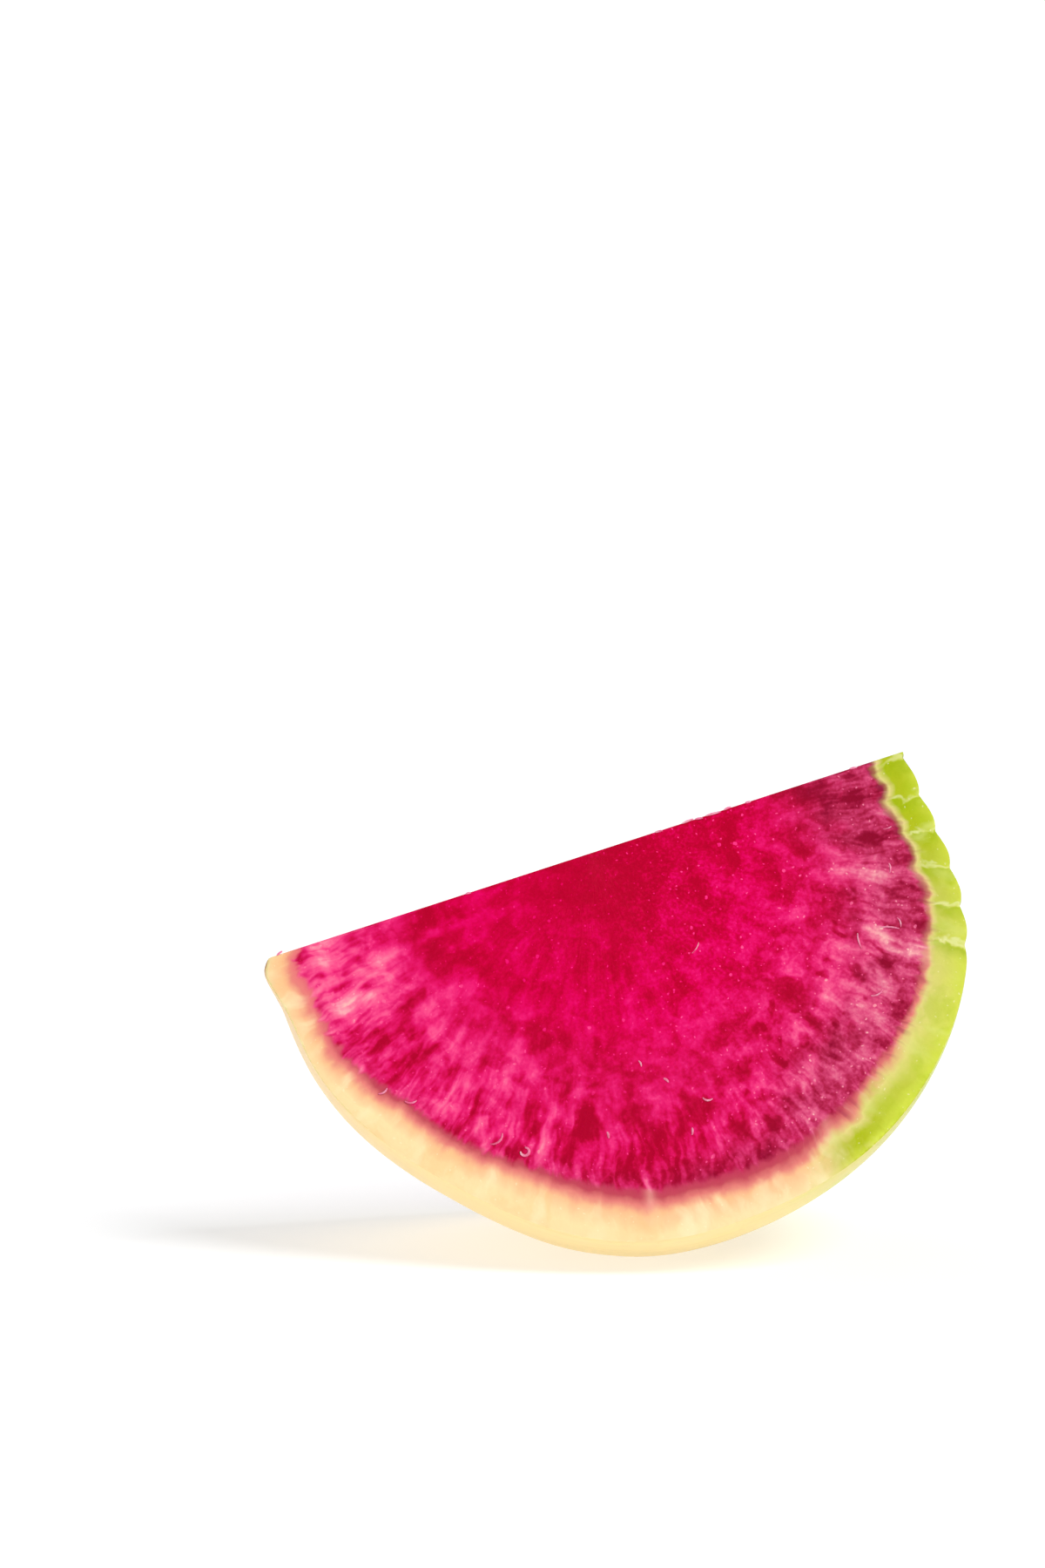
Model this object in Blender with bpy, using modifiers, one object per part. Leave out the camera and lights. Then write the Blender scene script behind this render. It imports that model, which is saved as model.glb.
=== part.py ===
"""Wedge of a watermelon radish, cut lengthwise for the table.

The whole root is a round watermelon radish, a little wider than it is tall, with a blunt root end
and a flat crown that keeps the ring ridges of its old leaves. Two knife cuts take a wedge out of
it, about a sixth of the root. The cut faces are flat and meet in a straight edge beside the root's
own axis. The wedge rests on its skin, edge up, with the crown end raised, on a small flat spot
under its weight.

Units are metres and +Z is up. The origin is on the table, under the middle of the wedge.
The longest side lies along X, with the crown end at +X and the two cut faces at -Y and +Y.
"""

from math import cos, pi, radians, sin

import bpy
import numpy as np
from mathutils import Vector

# Outline of half the root: height along its axis, then radius, from the crown to the root end. A
# shallow dimple is left where the thin end of the root broke off.
ROOT_OUTLINE = (
    (0.0776, 0.0000),
    (0.0777, 0.0045),
    (0.0781, 0.0144),
    (0.0766, 0.0242),
    (0.0698, 0.0353),
    (0.0592, 0.0431),
    (0.0466, 0.0470),
    (0.0336, 0.0470),
    (0.0216, 0.0421),
    (0.0125, 0.0341),
    (0.0050, 0.0246),
    (0.0007, 0.0132),
    (0.0001, 0.0072),
    (-0.0005, 0.0042),
    (-0.0007, 0.0023),
    (0.0000, 0.0008),
    (0.0004, 0.0000),
)
ROOT_MIDDLE = 0.0385

# Ring ridges on the crown, one for each ring of leaves that was trimmed off
FIRST_RING_RADIUS = 0.00120
RING_PITCH = 0.00475
RING_DEPTH = 0.0005
RING_SHARPNESS = 0.7
RING_LEAN = 1.45
RING_FULL_RADIUS = 0.0233
RING_LAST_RADIUS = 0.0283
CROWN_FROM_HEIGHT = 0.060

# Low lumps of the skin, as the root swelled against the soil
LUMP_HEIGHT = 0.00020
LUMP_LENGTH = 0.036
LUMPS_AROUND = 5

# The two knife cuts and how the wedge lies
WEDGE_ANGLE = radians(56)
EDGE_FROM_AXIS = 0.0005
CROWN_LIFT = radians(16.85)
REST_SPOT_DEPTH = 0.0010

# How finely the turned root is stepped
STEPS_AROUND = 120
RING_STEP = RING_PITCH / 9
SKIN_STEP = 0.0016
RINGED_LENGTH = 0.031
ROOT_TIP_STEP = 0.0008
ROOT_TIP_LENGTH = 0.0085

KNIFE_BLOCK = 0.16
MERGE_DISTANCE = 0.00001


def remove_scene_objects():
    for old in list(bpy.data.objects):
        bpy.data.objects.remove(old, do_unlink=True)


def new_collection(name):
    collection = bpy.data.collections.new(name)
    bpy.context.scene.collection.children.link(collection)
    return collection


def plain_material(name, colour, roughness):
    """A Principled material with a linear base colour."""
    material = bpy.data.materials.new(name)
    material.use_nodes = True
    shader = material.node_tree.nodes["Principled BSDF"]
    shader.inputs["Base Color"].default_value = (*colour, 1.0)
    shader.inputs["Roughness"].default_value = roughness
    shader.inputs["Metallic"].default_value = 0.0
    material.diffuse_color = (*colour, 1.0)
    return material


def smooth_fade(value, start, end):
    """1 up to start, 0 from end on, with a smooth step between."""
    share = np.clip((end - value) / (end - start), 0.0, 1.0)
    return share * share * (3.0 - 2.0 * share)


def curve_through(stations, steps):
    """Points of one smooth cubic curve through the stations.

    The curve leaves the first station and reaches the last one square to the root's axis. steps
    gives the arc positions of the points, measured along the straight lines between stations.
    """
    points = np.array(stations)
    gaps = np.linalg.norm(np.diff(points, axis=0), axis=1)
    places = np.concatenate(([0.0], np.cumsum(gaps)))
    slopes = np.diff(points, axis=0) / gaps[:, None]
    count = len(points)
    matrix = np.zeros((count, count))
    right = np.zeros((count, 2))
    matrix[0, :2] = (2.0 * gaps[0], gaps[0])
    matrix[-1, -2:] = (gaps[-1], 2.0 * gaps[-1])
    right[0] = 6.0 * (slopes[0] - np.array((0.0, 1.0)))
    right[-1] = 6.0 * (np.array((0.0, -1.0)) - slopes[-1])
    for i in range(1, count - 1):
        matrix[i, i - 1:i + 2] = (gaps[i - 1], 2.0 * (gaps[i - 1] + gaps[i]), gaps[i])
        right[i] = 6.0 * (slopes[i] - slopes[i - 1])
    bends = np.linalg.solve(matrix, right)

    span = np.clip(np.searchsorted(places, steps, side="right") - 1, 0, count - 2)
    gap = gaps[span]
    before = ((places[span + 1] - steps) / gap)[:, None]
    after = ((steps - places[span]) / gap)[:, None]
    straight = before * points[span] + after * points[span + 1]
    bend = (before**3 - before) * bends[span] + (after**3 - after) * bends[span + 1]
    return straight + bend * (gap[:, None] ** 2) / 6.0


def outline_steps():
    """Arc positions along the outline, close together over the ring ridges and the root tip."""
    length = np.linalg.norm(np.diff(np.array(ROOT_OUTLINE), axis=0), axis=1).sum()
    tip_start = length - ROOT_TIP_LENGTH
    ringed = np.arange(0.0, RINGED_LENGTH, RING_STEP)
    side_count = round((tip_start - RINGED_LENGTH) / SKIN_STEP)
    side = np.linspace(RINGED_LENGTH, tip_start, side_count, endpoint=False)
    tip = np.linspace(tip_start, length, round(ROOT_TIP_LENGTH / ROOT_TIP_STEP) + 1)
    return np.concatenate((ringed, side, tip))


def ring_relief(outline):
    """How far each outline point lies below a smooth crown.

    Shallow arches run between the rings, and each one leans outwards over the groove beside it.
    """
    height, radius = outline.T
    across = np.mod((radius - FIRST_RING_RADIUS) / RING_PITCH, 1.0)
    arch = np.sin(pi * across**RING_LEAN) ** RING_SHARPNESS
    fade = smooth_fade(radius, RING_FULL_RADIUS, RING_LAST_RADIUS) * (height > CROWN_FROM_HEIGHT)
    return RING_DEPTH * (1.0 - arch) * fade


def root_outline():
    """The finished half outline, crown first, as height and radius."""
    outline = curve_through(ROOT_OUTLINE, outline_steps())
    along = np.gradient(outline, axis=0)
    along /= np.linalg.norm(along, axis=1)[:, None]
    outward = np.stack((along[:, 1], -along[:, 0]), axis=1)
    outline -= outward * ring_relief(outline)[:, None]
    outline[0, 1] = 0.0
    outline[-1, 1] = 0.0
    return outline


def turned_root():
    """The whole root as a mesh: its outline turned about its own axis, which is local Z."""
    mesh = bpy.data.meshes.new("root_outline")
    points = [(radius, 0.0, height - ROOT_MIDDLE) for height, radius in root_outline()]
    edges = [(i, i + 1) for i in range(len(points) - 1)]
    mesh.from_pydata(points, edges, [])
    turned = bpy.data.objects.new("root_outline", mesh)
    bpy.context.scene.collection.objects.link(turned)

    screw = turned.modifiers.new("turn", "SCREW")
    screw.axis = "Z"
    screw.angle = 2.0 * pi
    screw.steps = STEPS_AROUND
    screw.render_steps = STEPS_AROUND
    screw.use_merge_vertices = True
    screw.merge_threshold = MERGE_DISTANCE

    depsgraph = bpy.context.evaluated_depsgraph_get()
    root = bpy.data.meshes.new_from_object(turned.evaluated_get(depsgraph))
    bpy.data.objects.remove(turned, do_unlink=True)
    return root


def raise_lumps(mesh):
    """Push the skin in and out a little, square to the root's axis, in low lumps."""
    for vertex in mesh.vertices:
        place = vertex.co
        out = Vector((place.x, place.y, 0.0))
        radius = out.length
        if radius < MERGE_DISTANCE:
            continue
        turn = np.arctan2(place.y, place.x)
        lump = sin(LUMPS_AROUND * turn + 0.9) * cos(2.0 * pi * place.z / LUMP_LENGTH + turn)
        widening = radius / max(height_radius[1] for height_radius in ROOT_OUTLINE)
        vertex.co = place + out.normalized() * (LUMP_HEIGHT * lump * widening)


def radish_body(collection, skin):
    """The root, leaned so that its axis rises towards the crown at +X."""
    mesh = turned_root()
    raise_lumps(mesh)
    mesh.name = "radish_wedge"
    mesh.materials.clear()
    mesh.materials.append(skin)
    mesh.shade_smooth()
    body = bpy.data.objects.new("radish_wedge", mesh)
    body.rotation_euler.y = pi / 2.0 - CROWN_LIFT
    collection.objects.link(body)
    return body


def cutting_block(name, collection, material):
    """A cube for a Boolean cut, hidden from the render."""
    bpy.ops.mesh.primitive_cube_add(size=KNIFE_BLOCK)
    block = bpy.context.object
    block.name = name
    block.data.materials.append(material)
    block.hide_render = True
    block.display_type = "WIRE"
    for owner in list(block.users_collection):
        owner.objects.unlink(block)
    collection.objects.link(block)
    return block


def knife_cut(name, body, side, collection, flesh):
    """One flat cut through the root, on the side side (-1 or +1) of the wedge's middle plane."""
    half_angle = side * WEDGE_ANGLE / 2.0
    outward = Vector((-sin(abs(half_angle)), side * cos(half_angle), 0.0))
    block = cutting_block(name, collection, flesh)
    block.parent = body
    block.rotation_euler.z = half_angle
    block.location = Vector((EDGE_FROM_AXIS, 0.0, 0.0)) + outward * (KNIFE_BLOCK / 2.0)
    cut = body.modifiers.new(name, "BOOLEAN")
    cut.operation = "DIFFERENCE"
    cut.object = block
    cut.material_mode = "TRANSFER"


def world_box(thing):
    """Lowest and highest corner of an object's finished mesh."""
    bpy.context.view_layer.update()
    depsgraph = bpy.context.evaluated_depsgraph_get()
    finished = thing.evaluated_get(depsgraph)
    mesh = finished.to_mesh()
    corners = np.array([finished.matrix_world @ vertex.co for vertex in mesh.vertices])
    finished.to_mesh_clear()
    return corners.min(axis=0), corners.max(axis=0)


def flat_resting_spot(body, collection, skin):
    """A level cut that takes the lowest part of the skin off, as a small flat spot."""
    low, _ = world_box(body)
    block = cutting_block("table_cut", collection, skin)
    block.location.z = low[2] + REST_SPOT_DEPTH - KNIFE_BLOCK / 2.0
    cut = body.modifiers.new("table_cut", "BOOLEAN")
    cut.operation = "DIFFERENCE"
    cut.object = block
    cut.material_mode = "TRANSFER"
    return block


def stand_on_origin(body, table_block):
    """Move the wedge and its cuts so that it stands on the origin, under its middle."""
    low, high = world_box(body)
    shift = Vector((-(low[0] + high[0]) / 2.0, -(low[1] + high[1]) / 2.0, -low[2]))
    body.location += shift
    table_block.location += shift


def main():
    remove_scene_objects()
    parts = new_collection("watermelon_radish_wedge")
    cutters = new_collection("cutters")
    skin = plain_material("radish_skin", (0.83, 0.74, 0.36), 0.35)
    flesh = plain_material("radish_flesh", (0.66, 0.005, 0.105), 0.30)
    body = radish_body(parts, skin)
    knife_cut("front_cut", body, -1, cutters, flesh)
    knife_cut("back_cut", body, 1, cutters, flesh)
    table_block = flat_resting_spot(body, cutters, skin)
    stand_on_origin(body, table_block)


main()
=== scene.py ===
"""Watermelon radish wedge: the finish of its skin, rind and cut flesh, with floor, light and camera.

The wedge is one cut piece of root. Its fine surface is built here on the same outline and the same
two knife cuts as the solid it dresses, then given the low relief of real skin and cut flesh.
Lengths are metres unless a name says otherwise, and +Z is up.
"""

from functools import partial
from math import cos, pi, radians, sin

import bpy
import numpy as np
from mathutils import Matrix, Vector, geometry, noise


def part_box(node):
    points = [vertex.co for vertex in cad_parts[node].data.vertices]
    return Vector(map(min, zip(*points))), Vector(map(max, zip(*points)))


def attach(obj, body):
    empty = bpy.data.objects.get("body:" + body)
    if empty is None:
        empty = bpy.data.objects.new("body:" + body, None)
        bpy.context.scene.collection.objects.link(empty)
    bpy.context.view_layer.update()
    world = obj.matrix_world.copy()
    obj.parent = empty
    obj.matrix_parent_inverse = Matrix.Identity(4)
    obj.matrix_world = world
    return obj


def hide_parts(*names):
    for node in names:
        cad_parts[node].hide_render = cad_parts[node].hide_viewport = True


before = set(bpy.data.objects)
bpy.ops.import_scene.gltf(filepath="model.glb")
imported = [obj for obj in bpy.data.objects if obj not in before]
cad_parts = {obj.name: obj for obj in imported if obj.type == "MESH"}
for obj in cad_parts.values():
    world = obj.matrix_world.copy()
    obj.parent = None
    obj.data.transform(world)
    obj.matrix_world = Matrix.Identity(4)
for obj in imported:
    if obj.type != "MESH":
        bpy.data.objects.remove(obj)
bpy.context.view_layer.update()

NODE = "radish_wedge"
MM = 0.001

# Outline of half the root: height along its axis, then radius, from the crown to the root end. A
# shallow dimple is left where the thin end of the root broke off.
ROOT_OUTLINE = (
    (0.0776, 0.0000),
    (0.0777, 0.0045),
    (0.0781, 0.0144),
    (0.0766, 0.0242),
    (0.0698, 0.0353),
    (0.0592, 0.0431),
    (0.0466, 0.0470),
    (0.0336, 0.0470),
    (0.0216, 0.0421),
    (0.0125, 0.0341),
    (0.0050, 0.0246),
    (0.0007, 0.0132),
    (0.0001, 0.0072),
    (-0.0005, 0.0042),
    (-0.0007, 0.0023),
    (0.0000, 0.0008),
    (0.0004, 0.0000),
)
ROOT_MIDDLE = 0.0385
ROOT_WIDEST = 0.0470

# Ring ridges that the trimmed leaves left on the crown
FIRST_RING_RADIUS = 0.00120
RING_PITCH = 0.00475
RING_DEPTH = 0.0005
RING_SHARPNESS = 0.7
RING_LEAN = 1.45
RING_FULL_RADIUS = 0.0233
RING_LAST_RADIUS = 0.0283
CROWN_FROM_HEIGHT = 0.060

# Low lumps of the skin
LUMP_HEIGHT = 0.00020
LUMP_LENGTH = 0.036
LUMPS_AROUND = 5

# The two knife cuts and how the wedge lies
HALF_ANGLE = radians(28)
EDGE_FROM_AXIS = 0.0005
CROWN_LIFT = radians(16.85)
REST_SPOT_DEPTH = 0.0010

# Where the root's rays start, on the cut edge: height above the root end
HUB_HEIGHT = 0.0392

# How fine the surface is
RIM_STEP = 0.00030
FLESH_STEP = 0.00040
SKIN_TURN_STEP = 0.00080
RIM_BAND = 0.0062
ROW_SHARE = 0.866  # Rows of even triangles, as a share of their sides

# Facts of points off the cut flesh: a ring count past the crown, and for skin its share of the flesh
# and millimetres outwards from where flesh turns to rind
NO_RING = 9.0
SKIN_FLESH_SHARE = 1.1
SKIN_INSET = 4.0

# Thickness of the pale rind along the outline: degrees round from the crown, then millimetres
RIND_THICKNESS = (
    (0, 4.0), (6, 4.2), (9.3, 4.7), (13, 4.3), (18, 4.1), (22.4, 4.6), (26, 4.2), (31, 4.4), (37, 5.1),
    (43, 5.0), (51, 5.4), (60, 5.7), (66, 5.1), (70, 5.1), (75, 4.1), (83, 3.9), (91, 4.3), (99, 4.4),
    (106, 4.8), (114, 5.2), (121, 5.2), (128, 4.3), (136, 4.4), (144, 4.6), (151, 3.9), (159, 3.1),
    (167, 3.0), (180, 3.5),
)


def linear(hex_colour):
    """Linear colour of an sRGB hex value."""
    channels = [int(hex_colour[i:i + 2], 16) / 255 for i in (1, 3, 5)]
    return (*(c / 12.92 if c <= 0.04045 else ((c + 0.055) / 1.055) ** 2.4 for c in channels), 1.0)


def smooth_step(value, start, end):
    """0 up to start, 1 from end on, with a smooth step between."""
    share = np.clip((np.asarray(value, dtype=float) - start) / (end - start), 0.0, 1.0)
    return share * share * (3.0 - 2.0 * share)


def follow(value, *stations, column=1):
    """What a column of the stations gives where their first column reaches the value."""
    table = np.array(stations, dtype=float)
    return np.interp(value, table[:, 0], table[:, column])


def add_node(tree, kind, *inputs, output=None, stops=None, **settings):
    """Add a node with its settings, inputs and colour stops, and return one output socket.

    Inputs are values or sockets in the order that the node shows them, and None leaves one alone.
    """
    node = tree.nodes.new("ShaderNode" + kind)
    for name, value in settings.items():
        setattr(node, name, value)
    for socket, value in zip([s for s in node.inputs if s.enabled], inputs):
        if isinstance(value, bpy.types.NodeSocket):
            tree.links.new(value, socket)
        elif value is not None:
            socket.default_value = value
    if stops:
        ramp = node.color_ramp
        while len(ramp.elements) > 1:
            ramp.elements.remove(ramp.elements[-1])
        for i, (position, colour) in enumerate(stops):
            element = ramp.elements[0] if i == 0 else ramp.elements.new(position)
            element.position = position
            element.color = linear(colour) if isinstance(colour, str) else (colour, colour, colour, 1.0)
    return node.outputs[output] if output else next(s for s in node.outputs if s.enabled)


def add_to_scene(name, data):
    """A new object with the data given, in the scene."""
    thing = bpy.data.objects.new(name, data)
    bpy.context.scene.collection.objects.link(thing)
    return thing


def smooth_piece(name, points, faces, *materials):
    """A smooth mesh in the scene, with its materials."""
    mesh = bpy.data.meshes.new(name)
    mesh.from_pydata(np.array(points).tolist(), [], faces)
    for material in materials:
        mesh.materials.append(material)
    mesh.shade_smooth()
    return add_to_scene(name, mesh)


# The outline and the wedge's own directions


def curve_through(stations, steps):
    """Points of one smooth cubic curve through the stations, square to the axis at both ends."""
    points = np.array(stations)
    gaps = np.linalg.norm(np.diff(points, axis=0), axis=1)
    places = np.concatenate(([0.0], np.cumsum(gaps)))
    slopes = np.diff(points, axis=0) / gaps[:, None]
    count = len(points)
    matrix = np.zeros((count, count))
    right = np.zeros((count, 2))
    matrix[0, :2] = (2.0 * gaps[0], gaps[0])
    matrix[-1, -2:] = (gaps[-1], 2.0 * gaps[-1])
    right[0] = 6.0 * (slopes[0] - np.array((0.0, 1.0)))
    right[-1] = 6.0 * (np.array((0.0, -1.0)) - slopes[-1])
    for i in range(1, count - 1):
        matrix[i, i - 1:i + 2] = (gaps[i - 1], 2.0 * (gaps[i - 1] + gaps[i]), gaps[i])
        right[i] = 6.0 * (slopes[i] - slopes[i - 1])
    bends = np.linalg.solve(matrix, right)

    span = np.clip(np.searchsorted(places, steps, side="right") - 1, 0, count - 2)
    gap = gaps[span]
    before = ((places[span + 1] - steps) / gap)[:, None]
    after = ((steps - places[span]) / gap)[:, None]
    straight = before * points[span] + after * points[span + 1]
    bend = (before**3 - before) * bends[span] + (after**3 - after) * bends[span + 1]
    return straight + bend * (gap[:, None] ** 2) / 6.0


def ring_arch(radius):
    """Height of the crown's arches between ring ridges: 0 in a groove, 1 at the top of an arch.

    Each arch leans outwards over the groove beside it.
    """
    across = np.mod(ring_count(radius), 1.0)
    return np.sin(pi * across**RING_LEAN) ** RING_SHARPNESS


def ring_count(radius):
    """Rings between the crown's first ring and a radius."""
    return (radius - FIRST_RING_RADIUS) / RING_PITCH


def ring_strength(height, radius):
    """How strongly the ring ridges show: all of it on the crown, none below the shoulder."""
    fade = 1.0 - smooth_step(radius, RING_FULL_RADIUS, RING_LAST_RADIUS)
    return fade * (np.asarray(height) > CROWN_FROM_HEIGHT)


def root_outline():
    """Half outline with its ring ridges, crown first, as height and radius."""
    length = np.linalg.norm(np.diff(np.array(ROOT_OUTLINE), axis=0), axis=1).sum()
    outline = curve_through(ROOT_OUTLINE, np.linspace(0.0, length, round(length / RIM_STEP) + 1))
    along = np.gradient(outline, axis=0)
    along /= np.linalg.norm(along, axis=1)[:, None]
    outward = np.stack((along[:, 1], -along[:, 0]), axis=1)
    relief = RING_DEPTH * (1.0 - ring_arch(outline[:, 1])) * ring_strength(*outline.T)
    outline -= outward * relief[:, None]
    return outline[outline[:, 1] > EDGE_FROM_AXIS * 1.02]


def lump(turn, height, radius):
    """How far the skin stands out of the turned shape."""
    along = 2.0 * pi * (height - ROOT_MIDDLE) / LUMP_LENGTH
    wave = np.sin(LUMPS_AROUND * turn + 0.9) * np.cos(along + turn)
    return LUMP_HEIGHT * wave * radius / ROOT_WIDEST


def wedge_reach(height, radius, swing):
    """Distance from the cut edge to the skin, in the direction swing from the wedge's middle plane."""
    turn = swing - np.arcsin(np.clip(EDGE_FROM_AXIS * np.sin(swing) / radius, -1.0, 1.0))
    skin_radius = radius + lump(turn, height, radius)
    side = EDGE_FROM_AXIS * np.sin(swing)
    return np.sqrt(np.maximum(skin_radius**2 - side**2, 0.0)) - EDGE_FROM_AXIS * np.cos(swing)


def place(height, reach, swing):
    """Points in the world's directions, from heights on the axis, reaches from the edge and swings."""
    height, reach, swing = np.broadcast_arrays(height, reach, swing)
    out = EDGE_FROM_AXIS + reach * np.cos(swing)
    across = reach * np.sin(swing)
    along = height - ROOT_MIDDLE
    x = along * cos(CROWN_LIFT) + out * sin(CROWN_LIFT)
    z = along * sin(CROWN_LIFT) - out * cos(CROWN_LIFT)
    return np.stack((x, across, z), axis=-1)


# The fine surface


def cut_face_net(outline, reach):
    """Flat triangle net of one cut face: its skin side, edge side and inner points, and triangles.

    Points are heights and reaches, and the triangles count them in that order. The net is finer in
    the rind than in the flesh.
    """
    skin_side = np.stack((outline[:, 0], reach), axis=1)
    skin_side[[0, -1], 1] = 0.0
    edge_count = round((skin_side[0, 0] - skin_side[-1, 0]) / FLESH_STEP)
    heights = np.linspace(skin_side[-1, 0], skin_side[0, 0], edge_count + 1)[1:-1]
    edge_side = np.stack((heights, np.zeros(len(heights))), axis=1)
    border = np.concatenate((skin_side, edge_side))

    inner = []
    for step, keep_rim in ((RIM_STEP, True), (FLESH_STEP, False)):
        rows = np.arange(ROW_SHARE * step * 0.7, ROOT_WIDEST, ROW_SHARE * step)
        for number, row in enumerate(rows):
            columns = np.arange(-MM + (number % 2) * step / 2, 80 * MM, step)
            inner.append(np.stack(np.broadcast_arrays(columns, row, float(keep_rim)), axis=1))
    inner = np.concatenate(inner)
    gap = distance_to_line(inner[:, :2], skin_side)
    inside = inside_outline(inner[:, :2], skin_side)
    in_rim = gap < RIM_BAND
    wanted = inside & (gap > RIM_STEP * 0.55) & (in_rim == (inner[:, 2] > 0.5))
    inner = inner[wanted, :2]

    net = np.concatenate((border, inner))
    loop = list(range(len(border)))
    _, _, faces, sources, _, _ = geometry.delaunay_2d_cdt(
        [Vector(p) for p in net], [], [loop], 1, 1e-9, True)
    order = [source[0] for source in sources]
    triangles = np.array([[order[i] for i in face] for face in faces])
    # The net also bridges the crown's grooves, where its triangles are dropped
    triangles = triangles[inside_outline(net[triangles].mean(axis=1), skin_side)]
    return skin_side, edge_side, inner, triangles


def distance_to_line(points, line):
    """Distance from each point to the nearest point of a dense line."""
    blocks = np.array_split(points, len(points) // 4000 + 1)
    gaps = [np.linalg.norm(block[:, None, :] - line[None, :, :], axis=2).min(axis=1) for block in blocks]
    return np.concatenate(gaps)


def inside_outline(points, line):
    """Whether each point lies between the straight edge and the outline, seen from the hub."""
    angle, reach = polar(points)
    return reach < outline_reach(line, angle)


def polar(points):
    """Angle round the hub from the crown end (0 to pi) and distance from it."""
    along = points[:, 0] - HUB_HEIGHT
    return np.arctan2(points[:, 1], along), np.hypot(along, points[:, 1])


def outline_reach(line, angle):
    """Distance from the hub to the outline in each direction."""
    return np.interp(angle, *polar(line))


def flesh_facts(points, line, radii, side):
    """What the finish needs to know at each point of the cut plane, in six columns.

    They are the angle share round the hub (0 crown, 1 root end), the reach as a share of the flesh
    (1 where the rind starts), the wedge's side, the depth below the skin in millimetres, its share
    of the rind's thickness, and the ring count from the crown's middle.
    """
    angle, reach = polar(points)
    limit = outline_reach(line, angle)
    thickness = follow(np.degrees(angle), *RIND_THICKNESS) * MM
    depth = np.maximum(limit - reach, 0.0)
    flesh = reach / (limit - thickness)
    ring = ring_count(np.interp(angle, polar(line)[0], radii))
    ring = np.where(angle < radians(60), ring, NO_RING)
    return np.stack(np.broadcast_arrays(
        angle / pi, flesh, float(side), depth / MM, depth / thickness, ring,
    ), axis=1)


def wedge_surface():
    """The whole fine surface as world points, triangles, facts for each point, and skin flags."""
    outline = root_outline()
    turn_count = round(2 * HALF_ANGLE * ROOT_WIDEST / SKIN_TURN_STEP) + 1
    swings = np.linspace(-HALF_ANGLE, HALF_ANGLE, turn_count)
    height, radius = outline.T[:, :, None]
    reach = wedge_reach(height, radius, swings)
    reach[[0, -1]] = 0.0
    rows, columns = reach.shape

    # Each skin point has one number, and the two end rows are single points on the edge
    number = np.zeros((rows, columns), dtype=int)
    number[1:-1] = np.arange((rows - 2) * columns).reshape(rows - 2, columns) + 2
    number[-1] = 1
    points = np.zeros((number.max() + 1, 3))
    points[number] = place(height, reach, swings)
    facts = np.zeros((len(points), 6))
    turn = polar(outline)[0] / pi
    facts[number] = np.stack(np.broadcast_arrays(
        turn[:, None], SKIN_FLESH_SHARE, swings / HALF_ANGLE, 0.0, 0.0, ring_count(radius),
    ), axis=-1)

    a, b = number[:-1, :-1], number[:-1, 1:]
    c, d = number[1:, 1:], number[1:, :-1]
    upper = np.stack((c, b, a), axis=-1).reshape(-1, 3)
    lower = np.stack((d, c, a), axis=-1).reshape(-1, 3)
    skin = np.concatenate((upper, lower))
    triangles = [skin[(skin != np.roll(skin, 1, axis=1)).all(axis=1)]]

    edge_numbers = None
    for column, side in ((0, -1), (columns - 1, 1)):
        line, edge, inner, faces = cut_face_net(outline, reach[:, column])
        if edge_numbers is None:
            edge_numbers = np.arange(len(edge)) + len(points)
            points, facts = grow(points, facts, edge, line, outline, 0)
        inner_numbers = np.arange(len(inner)) + len(points)
        points, facts = grow(points, facts, inner, line, outline, side)
        numbers = np.concatenate((number[:, column], edge_numbers, inner_numbers))
        faces = numbers[faces]
        triangles.append(faces if side > 0 else faces[:, ::-1])
    flags = np.arange(sum(map(len, triangles))) < len(triangles[0])
    return points, np.concatenate(triangles), facts, flags


def grow(points, facts, new, line, outline, side):
    """Add points of a cut face, given as height and reach, with their facts."""
    placed = place(new[:, 0], new[:, 1], side * HALF_ANGLE)
    more = flesh_facts(new, line, outline[:, 1], side)
    return np.concatenate((points, placed)), np.concatenate((facts, more))


# Where the flesh changes tone on the cut faces. Tones run from 0, deep crimson, to 1, palest pink.
# Degrees go round the hub from the crown end


def band(flesh, start, full, full_end, end):
    """1 between full and full_end, falling smoothly to 0 at start and end."""
    return smooth_step(flesh, start, full) * (1.0 - smooth_step(flesh, full_end, end))


# Along a ray, from the hub to the rind: share of the flesh, tone, strength of the clouds
ALONG_A_RAY = (
    (0.00, 0.06, 0.06), (0.10, 0.04, 0.07), (0.20, 0.07, 0.08), (0.35, 0.115, 0.10), (0.50, 0.135, 0.13),
    (0.62, 0.165, 0.18), (0.75, 0.20, 0.23), (0.87, 0.19, 0.20), (1.00, 0.20, 0.18),
)


def tone_of_flesh(degrees, flesh):
    """Tone before any texture: deep at the heart, pink further out, deep again under the hub."""
    tone = follow(flesh, *ALONG_A_RAY)
    crown_side = follow(degrees, (0, 1.0), (20, 0.8), (34, 0.0))
    clouds = follow(degrees, (14, 0.0), (28, 0.75), (45, 1.0), (66, 1.0), (80, 0.3), (95, 0.0))
    under_hub = follow(degrees, (70, 0.0), (82, 1.0), (100, 1.0), (114, 0.0))
    root_side = follow(degrees, (104, 0.0), (116, 1.0), (150, 1.0), (158, 0.0))
    tip = follow(degrees, (152, 0.0), (161, 0.75), (167, 1.0), (180, 1.0))
    tone = tone - 0.07 * crown_side * smooth_step(flesh, 0.30, 0.55)
    tone = tone + 0.13 * clouds * band(flesh, 0.50, 0.70, 0.88, 1.02)
    tone = tone - 0.09 * under_hub * band(flesh, 0.72, 0.84, 0.96, 1.00)
    tone = tone + 0.05 * root_side * band(flesh, 0.48, 0.58, 0.68, 0.80)
    tone = tone + 0.06 * root_side * band(flesh, 0.88, 0.95, 1.00, 1.06)
    return tone + 0.24 * tip * smooth_step(flesh, 0.60, 0.84)


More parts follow.
